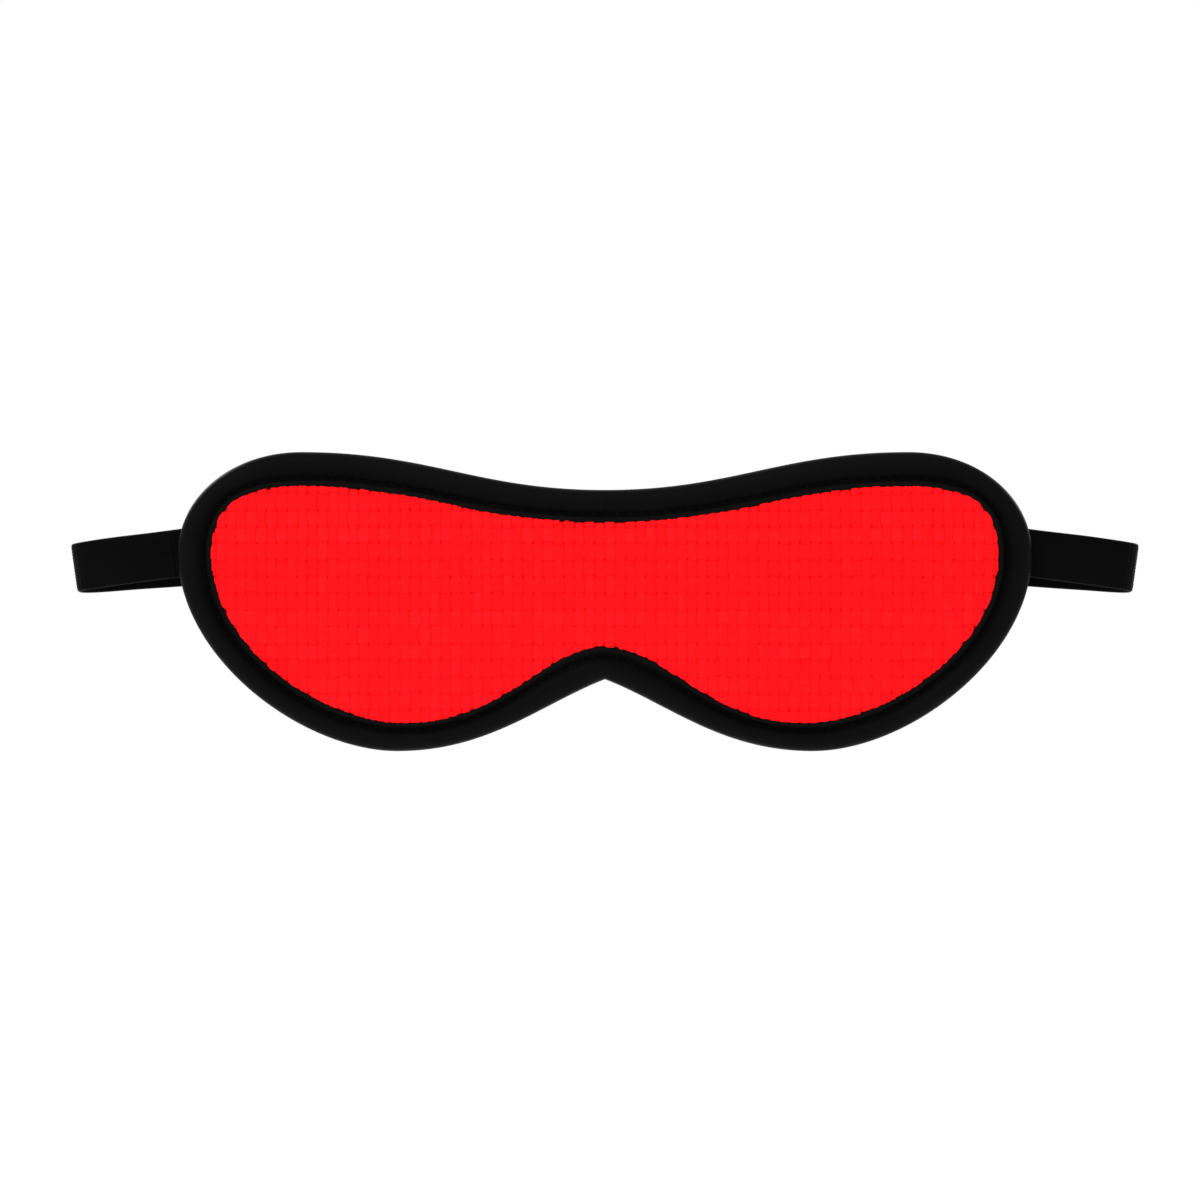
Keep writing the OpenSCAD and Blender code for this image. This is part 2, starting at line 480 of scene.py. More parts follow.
def yarns(name, vertical, rng):
    """All yarns of one direction as one piece."""
    pitch = WARP_PITCH if vertical else WEFT_PITCH
    crossing = WEFT_PITCH if vertical else WARP_PITCH
    half_width = WARP_HALF_WIDTH if vertical else WEFT_HALF_WIDTH
    step = crossing / (WARP_RINGS_PER_CROSSING if vertical else WEFT_RINGS_PER_CROSSING)
    reach = (MASK_W if vertical else MASK_H) / 2
    far = (MASK_H if vertical else MASK_W) / 2
    across = (1, 0) if vertical else (0, -1)
    end_x = half_ring(YARN_END_PLACE)[:, 0].max()
    count = int(reach / pitch) + 2
    points, faces, marks = [], [], []
    first = 0
    for number in range(-count, count + 1):
        place = (number + 0.5 * vertical) * pitch
        along = np.arange(-far, far, step)
        line = place + ripple(along, YARN_SWAY, rng)
        x, z = (line, along) if vertical else (along, line)
        low, high = edge_heights(YARN_END_PLACE, x)
        inside = (z > low) & (z < high) & (np.abs(x) < end_x)
        wide = half_width * (1 + rng.normal(0, WIDTH_SPREAD) + ripple(along, YARN_WIDENING, rng))
        tone = rng.uniform(0, 1)
        for start, end in runs_inside(inside):
            if end - start < SHORTEST_YARN:
                continue
            part = along[start:end]
            wave = float_wave(math.pi * (part / crossing - 0.5 * (not vertical) + number))
            wave = -wave if vertical else wave
            lift = CRIMP * wave * (1 + LIFT_SPREAD * ripple(part, YARN_LIFTING, rng))
            width = wide[start:end] * (1 + FLOAT_WIDENING * wave)
            centre = np.stack([x[start:end], z[start:end]], axis=1)
            strip, mark = yarn_strip(centre, across, lift, width, tone)
            rings, sides = strip.shape[:2]
            points.append(strip.reshape(-1, 3))
            marks.append(mark.reshape(-1, 3))
            faces += tube_faces(rings, sides, first=first)
            first += rings * sides
    points = np.vstack(points)
    x, h, z = points[:, 0], points[:, 1], points[:, 2]
    # Near the lip the yarns lie flatter, and under it they sink
    inner = edge_distance(x, z)
    held = 1 - LIP_FLATTENING + LIP_FLATTENING * smooth((inner + FLATTEN_FROM) / FLATTEN_OVER)
    tucked = TUCK_DEPTH * (1 - smooth((inner + TUCK_FROM) / TUCK_OVER))
    base = FACE_Y + YARN_DEPTH - swell_at(FRONT_GRID, x, z) + tucked
    points[:, 1] = base - (h + WEAVE_MIDDLE) * held
    piece = add_mesh(name, points, faces)
    set_attribute(piece, "yarn", np.vstack(marks))
    return piece


# ---------------------------------------------------------------------------------------------
# Binding: a folded strip with a padded roll, a sewn groove and a lip against the panel
# ---------------------------------------------------------------------------------------------
# Place across the binding and height over the panel's face, in millimetres, for one side
ROLL_PROFILE = [
    (1.075, -0.28),
    (1.045, 0.06),
    (1.01, 0.38),
    (0.965, 0.60),
    (0.915, 0.64),
    (0.86, 0.46),
    (0.81, 0.18),
    (0.755, 0.08),
    (0.70, 0.22),
    (0.635, 0.60),
    (0.54, 1.00),
    (0.42, 1.26),
    (0.29, 1.24),
    (0.16, 0.82),
    (0.06, 0.02),
    (0.015, -1.1),
]
GROOVE_HEIGHT = 0.08 * MM
PROFILE_STEPS = 3
BINDING_STATIONS = 470
STRIP_WIDTH = 8 * MM
# Where the strip's inside lies: its wall just outside the layers' edge, and its ends under the lip
WALL_PLACE = LAYER_EDGE - 0.03
STRIP_END_PLACE = 0.9
# Parts of the section that the stitches and the padding shape: middle and spread across the binding
SEAM_PART = (SEAM_PLACE, 0.06)
ROLL_PART = (0.38, 0.26)
SHOULDER_PART = (0.64, 0.10)
LIP_PART = (0.95, 0.09)
# Unevenness round the binding: (waves in the whole loop, size) pairs
ROLL_PLUMPNESS = [(9, 0.05 * MM), (23, 0.04 * MM), (41, 0.025 * MM)]
ROLL_CREASES = [(150, 0.012 * MM), (97, 0.015 * MM)]
LIP_WAVER = [(14, 0.10 * MM), (37, 0.06 * MM)]
# How deep the stitches pull the groove in, and raise the shoulder and the lip beside them
SEAM_PULL = 0.10 * MM
SHOULDER_PUCKER = 0.035 * MM
LIP_PUCKER = 0.03 * MM


def rounded(points, steps):
    """A smooth line through the points (Catmull-Rom), without its end pieces' overshoot."""
    points = np.asarray(points, float)
    padded = np.vstack([points[:1], points, points[-1:]])
    line = []
    for i in range(1, len(padded) - 2):
        p0, p1, p2, p3 = padded[i - 1: i + 3]
        for k in range(steps):
            t = k / steps
            line.append(0.5 * (2 * p1 + (p2 - p0) * t + (2 * p0 - 5 * p1 + 4 * p2 - p3) * t * t
                               + (3 * p1 - p0 - 3 * p2 + p3) * t ** 3))
    line.append(points[-1])
    return np.array(line)


def binding_section():
    """Place and y of each point of the binding's section, and how many of them are on its outside."""
    half = [(p, h * MM) for p, h in ROLL_PROFILE]
    front = [(p, FACE_Y - h) for p, h in half]
    back = [(p, BACK_Y + h) for p, h in half[::-1]]
    outside = rounded(front + [(0.0, MIDDLE_Y)] + back, PROFILE_STEPS)
    inside = [(STRIP_END_PLACE, BACK_Y), (WALL_PLACE, BACK_Y),
              (WALL_PLACE, FACE_Y), (STRIP_END_PLACE, FACE_Y)]
    return np.vstack([outside, inside]), len(outside)


def bell(place, middle, spread):
    """1 at the middle, falling to 0 on both sides of it."""
    return np.exp(-((place - middle) / spread) ** 2)


def ripple_round(s, loop, waves_in_loop, rng):
    """A ripple that closes on itself: (number of waves in the loop, height) pairs."""
    return ripple(s, [(loop / number, height) for number, height in waves_in_loop], rng)


def binding(rng):
    """The folded strip all round the mask, puckered by its stitches."""
    section, shown = binding_section()
    outer, inner, s = loop_stations(BINDING_STATIONS, SEAM_PLACE)
    place, y = section[:, 0], section[:, 1]
    side = np.sign(y - MIDDLE_Y)
    visible = np.arange(len(section)) < shown
    seam, roll, shoulder, lip = (bell(place, *part) * visible
                                 for part in (SEAM_PART, ROLL_PART, SHOULDER_PART, LIP_PART))
    points = []
    loop = s[-1] + s[1]
    pitch = loop / round(loop / STITCH_PITCH)
    stitch = np.cos(2 * math.pi * s / pitch)
    plump = ripple_round(s, loop, ROLL_PLUMPNESS, rng)
    creases = ripple_round(s, loop, ROLL_CREASES, rng)
    waver = ripple_round(s, loop, LIP_WAVER, rng)
    for i in range(len(s)):
        across = inner[i] - outer[i]
        width = np.linalg.norm(across)
        p = place + lip * waver[i] / width
        xz = outer[i][None, :] + across[None, :] * p[:, None]
        out = -seam * SEAM_PULL * (0.5 + 0.5 * stitch[i])
        out = out + shoulder * SHOULDER_PUCKER * stitch[i] + roll * (plump[i] + creases[i])
        out = out - lip * LIP_PUCKER * stitch[i]
        points.append(np.stack([xz[:, 0], y + side * out, xz[:, 1]], axis=1))
    sides = len(section)
    faces = tube_faces(len(s), sides, closed_loop=True)
    piece = add_mesh("binding_roll", np.vstack(points), faces)
    around = np.repeat(s[:, None], sides, axis=1)
    marks = np.stack([around, np.repeat(place[None, :] * STRIP_WIDTH, len(s), axis=0),
                      np.repeat(y[None, :], len(s), axis=0)], axis=-1)
    set_attribute(piece, "strip", marks.reshape(-1, 3))
    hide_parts("edge_binding")
    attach(piece, "mask")
    return piece


# ---------------------------------------------------------------------------------------------
# Threads
# ---------------------------------------------------------------------------------------------
THREAD_SIDES = 8
THREAD_RINGS = 9
THREAD_TWIST = 1.1 * MM
# As shares of the radius: the height of the two plies, and how much thinner the thread's ends are
PLY_HEIGHT = 0.10
END_THINNING = 0.35
SEAM_STATIONS = 1400
# Where each stitch starts and ends, as shares of the pitch, and its least and greatest slant in mm
STITCH_SPAN = (0.07, 0.93)
STITCH_SLANT = (0.03, 0.09)
# How far a thread's centre stands over the groove, as a share of its radius
THREAD_PROUD = 0.75
# How deep the ends of a stitch dive into the cloth
SEAM_DIVE = 0.26 * MM
TACK_DIVE = 0.2 * MM


def thread_stitch(start, end, dip, out, radius=THREAD_RADIUS):
    """One stitch between two points: it bows outwards and dives into the cloth at both ends."""
    start, end, out = (np.asarray(p, float) for p in (start, end, out))
    t = np.linspace(0, 1, THREAD_RINGS)
    bow = -dip * np.abs(2 * t - 1) ** 4
    centre = start + (end - start) * t[:, None] + out * bow[:, None]
    length = np.linalg.norm(end - start)
    over = np.cross((end - start) / length, out)
    angle = 2 * math.pi * np.arange(THREAD_SIDES) / THREAD_SIDES
    twist = 2 * math.pi * t[:, None] * length / THREAD_TWIST
    size = radius * (1 + PLY_HEIGHT * np.cos(2 * angle[None, :] + twist))
    size = size * (1 - END_THINNING * np.abs(2 * t - 1) ** 6)[:, None]
    ring = np.cos(angle)[None, :, None] * over + np.sin(angle)[None, :, None] * out
    points = centre[:, None, :] + ring * size[:, :, None]
    marks = np.stack([np.repeat(t[:, None] * length, THREAD_SIDES, axis=1),
                      np.repeat(angle[None, :] * radius, THREAD_RINGS, axis=0),
                      np.zeros((THREAD_RINGS, THREAD_SIDES))], axis=-1)
    return points.reshape(-1, 3), marks.reshape(-1, 3)


def stitches_piece(name, ends, node):
    """One piece of many stitches: ends lists (start, end, dip, out) for each of them."""
    points, faces, marks = [], [], []
    for k, (start, end, dip, out) in enumerate(ends):
        more, mark = thread_stitch(start, end, dip, out)
        faces += tube_faces(THREAD_RINGS, THREAD_SIDES, first=k * THREAD_RINGS * THREAD_SIDES)
        points.append(more)
        marks.append(mark)
    piece = add_mesh(name, np.vstack(points), faces)
    set_attribute(piece, "thread", np.vstack(marks))
    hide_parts(node)
    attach(piece, "mask")
    return piece


def seam_stitches(name, node, side, rng):
    """The binding's lockstitch on one side: side is -1 on the front and 1 on the back."""
    outer, inner, s = loop_stations(SEAM_STATIONS, SEAM_PLACE)
    line = outer * (1 - SEAM_PLACE) + inner * SEAM_PLACE
    line = np.vstack([line, line[:1]])
    loop = s[-1] + s[1]
    s = np.concatenate([s, [loop]])
    count = round(loop / STITCH_PITCH)
    pitch = loop / count
    surface = FACE_Y if side < 0 else BACK_Y
    depth = surface + side * (GROOVE_HEIGHT + THREAD_RADIUS * THREAD_PROUD)
    ends = []
    for k in range(count):
        start, end = resampled(line, [(k + share) * pitch for share in STITCH_SPAN], s)
        run = (end - start) / np.linalg.norm(end - start)
        slant = np.array([-run[1], run[0]]) * rng.uniform(*STITCH_SLANT) * MM
        start, end = start + slant, end - slant
        ends.append(((start[0], depth, start[1]), (end[0], depth, end[1]), SEAM_DIVE, (0, side, 0)))
    return stitches_piece(name, ends, node)


# ---------------------------------------------------------------------------------------------
# Elastic strap: one band from tail to tail
# ---------------------------------------------------------------------------------------------
STRAP_W = 12.2 * MM
STRAP_T = 1.2 * MM
STRAP_REACH = 134.8 * MM
TAIL_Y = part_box("strap_right_side")[0].y + STRAP_T / 2
EDGE_X = MASK_W / 2
TAIL_LENGTH = 14 * MM
TAIL_X = EDGE_X - TAIL_LENGTH
EDGE_Z = 12.2 * MM
SLOPE = 8
BAND_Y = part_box("strap_back_run")[1].y - STRAP_T / 2
TAIL_Z = EDGE_Z + TAIL_LENGTH * math.tan(math.radians(SLOPE))
# Rows of stitches across the tail: their distances from the mask's edge, and their zigzag
TACK_ROWS = [6.2 * MM, 8.2 * MM]
TACK_HALF_WIDTH = 0.45 * MM
TACK_LENGTH = 9.6 * MM
TACK_COUNT = 20
TACK_PROUD = 0.02 * MM
# Points of the band's centre line: x, y, z in metres and the tilt of its width in degrees
TAIL_START = np.array([TAIL_X, TAIL_Y, TAIL_Z, SLOPE])
TAIL_LEAVE = np.array([EDGE_X, TAIL_Y, EDGE_Z, SLOPE])
FOLD = np.array([STRAP_REACH - STRAP_T / 2, 8 * MM, 8.5 * MM, SLOPE])
BACK_START = np.array([60 * MM, BAND_Y - 1 * MM, 12.6 * MM, 1])
BACK_MIDDLE = np.array([0, BAND_Y, 13.4 * MM, 0])


def band_curve(start, lead, tail, end):
    """The four points of a curve. lead and tail are steps from its ends: x, y, z in mm and the tilt."""
    units = np.array([MM, MM, MM, 1])
    return start, start + np.array(lead) * units, end + np.array(tail) * units, end


STRAP_CURVES = [
    band_curve(TAIL_START, (5, 0, -0.7, 0), (-5, 0, 0.7, 0), TAIL_LEAVE),
    band_curve(TAIL_LEAVE, (15, 0, -1.8, 0), (0, -6, 0.2, 0), FOLD),
    band_curve(FOLD, (0, 7, -1.1, 0), (42, -1, -1.3, 4), BACK_START),
    band_curve(BACK_START, (-20, 0.5, 0.6, -1), (20, 0, 0, 0), BACK_MIDDLE),
]
STRAP_CURVE_STEPS = 80
STRAP_STEP = 0.9 * MM
STRAP_WAVER = [(47 * MM, 0.006), (19 * MM, 0.004)]
RIBS = 15
RIB_STEPS = 4
# The band's thickness between the ribs and the ribs' rise, as shares of STRAP_T
RIB_FLOOR = 0.80
RIB_RISE = 0.16
# How square its selvedges are, and the square of the share of its thickness that they keep
EDGE_SQUARENESS = 14
EDGE_LEAST = 0.03
# The share that a tack row presses away and the share that a cut end keeps, and over what length
TACK_PRESS, TACK_PRESS_REACH = 0.30, 0.8 * MM
CUT_THICKNESS, CUT_REACH = 0.45, 0.9 * MM


def strap_line():
    """Centre line of the whole band from the left tail to the right tail, with the tilt of its width."""
    t = np.arange(STRAP_CURVE_STEPS) / STRAP_CURVE_STEPS
    half = np.vstack([cubic(*curve, t) for curve in STRAP_CURVES] + [BACK_MIDDLE[None, :]])
    mirror = np.array([-1, 1, 1, -1])
    whole = np.vstack([half * mirror, half[-2::-1]])
    length = lengths_along(whole[:, :3])
    at = np.linspace(0, length[-1], int(length[-1] / STRAP_STEP))
    return resampled(whole, at, length), at


def thicken(piece, shares, thickness):
    """Gives a ribbon its thickness on both sides of its middle; shares holds each vertex's part of it."""
    group = piece.vertex_groups.new(name="thickness")
    for index, share in enumerate(shares):
        group.add([index], float(share), "REPLACE")
    solid = piece.modifiers.new("thickness", "SOLIDIFY")
    solid.thickness = thickness
    solid.offset = 0
    solid.vertex_group = group.name
    solid.use_quality_normals = True


def strap(rng):
    """The band as a ribbon that gets its thickness last, so it stays as thick where the loop opens."""
    line, s = strap_line()
    centre, tilt = line[:, :3], np.radians(line[:, 3])
    up = np.stack([np.sin(tilt), 0 * tilt, np.cos(tilt)], axis=1)
    across = np.linspace(-1, 1, RIBS * RIB_STEPS + 1)
    rib = 0.5 - 0.5 * np.cos(math.pi * (across + 1) * RIBS)
    edge = np.sqrt(np.maximum(1 - np.abs(across) ** EDGE_SQUARENESS, EDGE_LEAST))
    depth = edge * (RIB_FLOOR + RIB_RISE * rib)
    tail_gap = np.minimum(s, s[-1] - s)
    pressed = np.ones_like(s)
    for row in TACK_ROWS:
        place = (TAIL_LENGTH - row) / math.cos(math.radians(SLOPE))
        pressed -= TACK_PRESS * bell(tail_gap, place, TACK_PRESS_REACH)
    pressed = pressed * (CUT_THICKNESS + (1 - CUT_THICKNESS) * smooth(tail_gap / CUT_REACH))
    width = STRAP_W / 2 * (1 + ripple(s, STRAP_WAVER, rng))
    points = centre[:, None, :] + up[:, None, :] * np.outer(width, across)[:, :, None]
    sides = len(across)
    faces = [(i * sides + j, i * sides + j + 1, (i + 1) * sides + j + 1, (i + 1) * sides + j)
             for i in range(len(s) - 1) for j in range(sides - 1)]
    piece = add_mesh("strap_band", points.reshape(-1, 3), faces)
    marks = np.stack([np.repeat(s[:, None], sides, axis=1),
                      np.repeat(across[None, :] * STRAP_W / 2, len(s), axis=0),
                      np.zeros((len(s), sides))], axis=-1)
    set_attribute(piece, "band", marks.reshape(-1, 3))
    thicken(piece, np.outer(pressed, depth).ravel(), STRAP_T)
    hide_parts("strap_left_side", "strap_back_run", "strap_right_side")
    return piece


def tack_stitches(name, node, side):
    """Two rows of close zigzag stitches over the band's tail; side is 1 on the right, -1 on the left."""
    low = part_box(node)[0]
    slope = math.radians(SLOPE)
    up = np.array([side * math.sin(slope), 0, math.cos(slope)])
    across = np.array([side * math.cos(slope), 0, -math.sin(slope)])
    depth = low.y + TACK_PROUD
    ends = []
    for row in TACK_ROWS:
        x = EDGE_X - row
        z = EDGE_Z + row * math.tan(slope)
        middle = np.array([side * x, depth, z])
        for k in range(TACK_COUNT):
            a = (k / TACK_COUNT - 0.5) * TACK_LENGTH
            b = ((k + 1) / TACK_COUNT - 0.5) * TACK_LENGTH
            turn = 1 if k % 2 else -1
            start = middle + up * a + across * TACK_HALF_WIDTH * turn
            end = middle + up * b - across * TACK_HALF_WIDTH * turn
            ends.append((start, end, TACK_DIVE, (0, 1, 0)))
    return stitches_piece(name, ends, node)


# ---------------------------------------------------------------------------------------------
# Materials
# ---------------------------------------------------------------------------------------------
def new_material(name, colour, roughness, specular, sheen=0.0, sheen_roughness=0.5):
    material = bpy.data.materials.new(name)
    material.use_nodes = True
    shader = material.node_tree.nodes["Principled BSDF"]
    shader.inputs["Base Color"].default_value = (*colour, 1)
    shader.inputs["Roughness"].default_value = roughness
    shader.inputs["Specular IOR Level"].default_value = specular
    shader.inputs["Sheen Weight"].default_value = sheen
    shader.inputs["Sheen Roughness"].default_value = sheen_roughness
    return material, material.node_tree, shader


def add_node(tree, kind, **settings):
    node = tree.nodes.new(kind)
    for key, value in settings.items():
        if key in node.inputs:
            node.inputs[key].default_value = value
        else:
            setattr(node, key, value)
    return node


def place_on_cloth(tree, name):
    """The place on the cloth that a mesh stores at its vertices, in metres."""
    return add_node(tree, "ShaderNodeAttribute", attribute_name=name).outputs["Vector"]


def scaled_place(tree, vector, scale):
    mapping = add_node(tree, "ShaderNodeMapping")
    mapping.inputs["Scale"].default_value = scale
    tree.links.new(vector, mapping.inputs["Vector"])
    return mapping.outputs["Vector"]


def noise(tree, vector, scale, detail=3.0, roughness=0.5):
    node = add_node(tree, "ShaderNodeTexNoise", Scale=scale, Detail=detail, Roughness=roughness)
    tree.links.new(vector, node.inputs["Vector"])
    return node.outputs["Fac"]


def colour_ramp(tree, value, stops):
    ramp = add_node(tree, "ShaderNodeValToRGB")
    while len(ramp.color_ramp.elements) < len(stops):
        ramp.color_ramp.elements.new(0.5)
    for element, (position, colour) in zip(ramp.color_ramp.elements, stops):
        element.position = position
        element.color = (*colour, 1)
    tree.links.new(value, ramp.inputs["Fac"])
    return ramp.outputs["Color"]


def add_values(tree, a, b, share):
    """a plus b times share."""
    node = add_node(tree, "ShaderNodeMath", operation="MULTIPLY_ADD")
    tree.links.new(b, node.inputs[0])
    node.inputs[1].default_value = share
    tree.links.new(a, node.inputs[2])
    return node.outputs[0]


def map_range(tree, value, low, high, to_low, to_high):
    node = add_node(tree, "ShaderNodeMapRange")
    node.inputs["From Min"].default_value = low
    node.inputs["From Max"].default_value = high
    node.inputs["To Min"].default_value = to_low
    node.inputs["To Max"].default_value = to_high
    tree.links.new(value, node.inputs["Value"])
    return node.outputs["Result"]


def bump(tree, shader, height, distance, strength=1.0):
    node = add_node(tree, "ShaderNodeBump", Strength=strength, Distance=distance)
    tree.links.new(height, node.inputs["Height"])
    tree.links.new(node.outputs["Normal"], shader.inputs["Normal"])


def waves(tree, vector, scale, axis, distortion=0.0, detail=0.0):
    node = add_node(tree, "ShaderNodeTexWave", bands_direction=axis, Scale=scale, Distortion=distortion,
                    Detail=detail)
    tree.links.new(vector, node.inputs["Vector"])
    return node.outputs["Fac"]


def red_yarn_material():
    """Flat red yarns: fine filaments along each yarn, each yarn a little different in tone."""
    material, tree, shader = new_material("red_yarn", (0.95, 0.004, 0.0075), 0.6, 0.04)
    place = place_on_cloth(tree, "yarn")
    parts = add_node(tree, "ShaderNodeSeparateXYZ")
    tree.links.new(place, parts.inputs[0])
    streaks = noise(tree, scaled_place(tree, place, (350, 5200, 40)), 1.0, 2.0)
    patches = noise(tree, scaled_place(tree, place, (90, 200, 30)), 1.0, 2.0)
    mixed = add_values(tree, streaks, patches, 0.9)
    mixed = add_values(tree, mixed, parts.outputs["Z"], 0.35)
    tone = map_range(tree, mixed, 0.65, 1.6, 0.0, 1.0)
    colour = colour_ramp(tree, tone, [
        (0.0, (0.88, 0.0025, 0.0049)),
        (0.5, (0.94, 0.0039, 0.0069)),
        (1.0, (0.98, 0.0068, 0.0106)),
    ])
    tree.links.new(colour, shader.inputs["Base Color"])
    rough = map_range(tree, streaks, 0.3, 0.7, 0.72, 0.5)
    tree.links.new(rough, shader.inputs["Roughness"])
    bump(tree, shader, streaks, 0.08 * MM, 0.6)
    return material


def red_backing_material():
    """The darker cloth that shows between the yarns."""
    material, tree, shader = new_material("red_backing", (0.9, 0.003, 0.006), 0.9, 0.02)
    place = place_on_cloth(tree, "cloth")
    grain = noise(tree, scaled_place(tree, place, (2500, 2500, 1)), 1.0, 2.0)
    colour = colour_ramp(tree, grain, [(0.3, (0.85, 0.002, 0.005)), (0.7, (0.95, 0.004, 0.008))])
    tree.links.new(colour, shader.inputs["Base Color"])
    bump(tree, shader, grain, 0.1 * MM, 0.6)
    return material


def leatherette_material():
    """Soft black leatherette: fine pebble grain and satin patches; its colour holds painted shade, darker
    on the roll's inner slope and darkest in the sewn groove, and painted light at the outer edge and on
    the lip.
    """
    material, tree, shader = new_material("leatherette", (0.0016, 0.0016, 0.0016), 0.5, 0.03)
    place = place_on_cloth(tree, "strip")
    parts = add_node(tree, "ShaderNodeSeparateXYZ")
    tree.links.new(place, parts.inputs[0])
    cells = add_node(tree, "ShaderNodeTexVoronoi", feature="DISTANCE_TO_EDGE", Scale=1.0)
    tree.links.new(scaled_place(tree, place, (1500, 1500, 1500)), cells.inputs["Vector"])
    pebble = map_range(tree, cells.outputs["Distance"], 0.0, 0.35, 0.0, 1.0)
    soft = noise(tree, scaled_place(tree, place, (420, 420, 420)), 1.0, 4.0)
    cloudy = noise(tree, scaled_place(tree, place, (60, 90, 90)), 1.0, 3.0)
    height = add_values(tree, soft, pebble, 0.45)
    across = map_range(tree, parts.outputs["Y"], 0.0, STRIP_WIDTH, 0.0, 1.0)
    painted_shade_and_mottle = add_values(tree, across, cloudy, 0.12)
    # Painted light and shade across the binding, mottled at random: lighter at the outer edge, darker down
    # the roll's inner slope, darkest in the sewn groove, lighter again on the lip.
    colour = colour_ramp(tree, painted_shade_and_mottle, [
        (0.10, (0.0023, 0.0023, 0.0025)),
        (0.45, (0.0016, 0.0016, 0.0017)),
        (0.78, (0.0003, 0.0003, 0.0003)),
        (0.90, (0.0003, 0.0003, 0.0003)),
        (0.98, (0.0020, 0.0020, 0.0020)),
    ])
    tree.links.new(colour, shader.inputs["Base Color"])
    rough = map_range(tree, cloudy, 0.3, 0.7, 0.46, 0.60)
    tree.links.new(rough, shader.inputs["Roughness"])
    bump(tree, shader, height, 0.06 * MM, 0.7)
    return material


def lining_material():
    """Fine black lining cloth with a soft sheen."""
    material, tree, shader = new_material("lining", (0.005, 0.005, 0.0056), 0.6, 0.15, 0.02, 0.4)
    place = place_on_cloth(tree, "cloth")
    over = waves(tree, scaled_place(tree, place, (1, 1, 1)), 420, "X", 0.6, 1.0)
    under = waves(tree, scaled_place(tree, place, (1, 1, 1)), 420, "Y", 0.6, 1.0)
    threads = add_values(tree, over, under, 0.9)
    cloudy = noise(tree, scaled_place(tree, place, (70, 70, 1)), 1.0, 3.0)
    colour = colour_ramp(tree, cloudy, [(0.3, (0.0040, 0.0040, 0.0046)), (0.7, (0.0064, 0.0062, 0.0064))])
    tree.links.new(colour, shader.inputs["Base Color"])
    bump(tree, shader, threads, 0.10 * MM, 0.6)
    return material


def elastic_material():
    """Black elastic webbing: knitted picks across the ribs that the mesh already has, with the selvedges
    painted lighter as a painted highlight.
    """
    material, tree, shader = new_material("elastic", (0.0010, 0.0010, 0.0010), 0.6, 0.025, 0.002, 0.4)
    place = place_on_cloth(tree, "band")
    picks = waves(tree, scaled_place(tree, place, (1, 1, 1)), 260, "X", 1.2, 1.0)
    fuzz = noise(tree, scaled_place(tree, place, (3000, 3000, 1)), 1.0, 2.0)
    cloudy = noise(tree, scaled_place(tree, place, (40, 120, 1)), 1.0, 3.0)
    height = add_values(tree, picks, fuzz, 0.35)
    parts = add_node(tree, "ShaderNodeSeparateXYZ")
    tree.links.new(place, parts.inputs[0])
    off_middle = add_node(tree, "ShaderNodeMath", operation="ABSOLUTE")
    tree.links.new(parts.outputs["Y"], off_middle.inputs[0])
    # Painted highlight: the colour is lighter at the selvedges, where the band's edges catch light; the
    # cloudy noise adds random mottling.
    selvedge = map_range(tree, off_middle.outputs[0], 0.465 * STRAP_W, 0.495 * STRAP_W, 0.0, 1.0)
    painted_edge_light_and_mottle = add_values(tree, selvedge, cloudy, 0.35)
    colour = colour_ramp(tree, painted_edge_light_and_mottle, [
        (0.10, (0.0006, 0.0006, 0.0006)),
        (0.25, (0.0014, 0.0014, 0.0014)),
        (1.0, (0.0060, 0.0060, 0.0060)),
    ])
    tree.links.new(colour, shader.inputs["Base Color"])
    bump(tree, shader, height, 0.10 * MM, 0.6)
    return material


def thread_material():
    """Twisted black thread, its colour darker in the grooves between the plies as painted shade."""
    material, tree, shader = new_material("thread", (0.0008, 0.0008, 0.0008), 0.65, 0.02)
    place = place_on_cloth(tree, "thread")
    plies = waves(tree, scaled_place(tree, place, (1, 1, 1)), 700, "DIAGONAL")
    grain = noise(tree, scaled_place(tree, place, (6000, 6000, 1)), 1.0, 2.0)
    height = add_values(tree, plies, grain, 0.3)
    # Painted shade: the colour follows the ply relief and is darker in the grooves between the plies.
    colour = colour_ramp(tree, height, [(0.2, (0.0005, 0.0005, 0.0005)), (1.0, (0.0012, 0.0012, 0.0012))])
    tree.links.new(colour, shader.inputs["Base Color"])
    bump(tree, shader, height, 0.05 * MM, 0.7)
    return material


def foam_material():
    """Pale open foam with pores, painted darker inside the pores as painted shade."""
    material, tree, shader = new_material("foam", (0.6, 0.6, 0.58), 0.95, 0.1)
    place = add_node(tree, "ShaderNodeTexCoord").outputs["Object"]
    pores = add_node(tree, "ShaderNodeTexVoronoi", Scale=1.0)
    tree.links.new(scaled_place(tree, place, (1800, 1800, 1800)), pores.inputs["Vector"])
    distance = pores.outputs["Distance"]
    # Painted shade: the colour is darker in the pores, the pits of the bump.
    colour = colour_ramp(tree, distance, [(0.1, (0.35, 0.35, 0.33)), (0.6, (0.65, 0.65, 0.62))])
    tree.links.new(colour, shader.inputs["Base Color"])
    bump(tree, shader, distance, 0.2 * MM, 0.8)
    return material


def blackout_material():
    """Dense matt interlining."""
    material, tree, shader = new_material("blackout", (0.012, 0.012, 0.012), 0.9, 0.1)
    place = add_node(tree, "ShaderNodeTexCoord").outputs["Object"]
    grain = noise(tree, scaled_place(tree, place, (2000, 2000, 2000)), 1.0, 2.0)
    colour = colour_ramp(tree, grain, [(0.3, (0.008, 0.008, 0.008)), (0.7, (0.02, 0.02, 0.02))])
    tree.links.new(colour, shader.inputs["Base Color"])
    bump(tree, shader, grain, 0.1 * MM, 0.6)
    return material


def paint(piece, material):
    """Gives a piece its one material."""
    piece.data.materials.clear()
    piece.data.materials.append(material)


